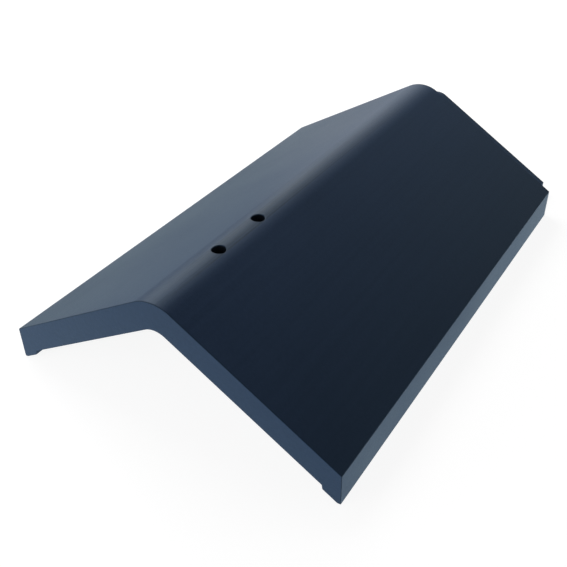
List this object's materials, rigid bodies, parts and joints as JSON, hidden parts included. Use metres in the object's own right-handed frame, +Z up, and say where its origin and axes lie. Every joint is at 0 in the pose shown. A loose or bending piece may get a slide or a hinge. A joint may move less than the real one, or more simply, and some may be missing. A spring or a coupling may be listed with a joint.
{
  "type": "ridge tile",
  "caption": "Angular ridge tile with two flat wings, a rounded crown, screw holes on the ridge line and a lip at one end that the next tile covers.",
  "frame": {"origin": "middle of the overall length and width, on the floor the tile stands on", "axes": "+X across the ridge, +Y along the ridge towards the lip, +Z up"},
  "size_m": [0.268, 0.4416, 0.1005],
  "materials": {
    "concrete": "smooth satin slate-blue surface coating"
  },
  "bodies": {
    "root": {"ridge_tile": "concrete"}
  },
  "joints": []
}
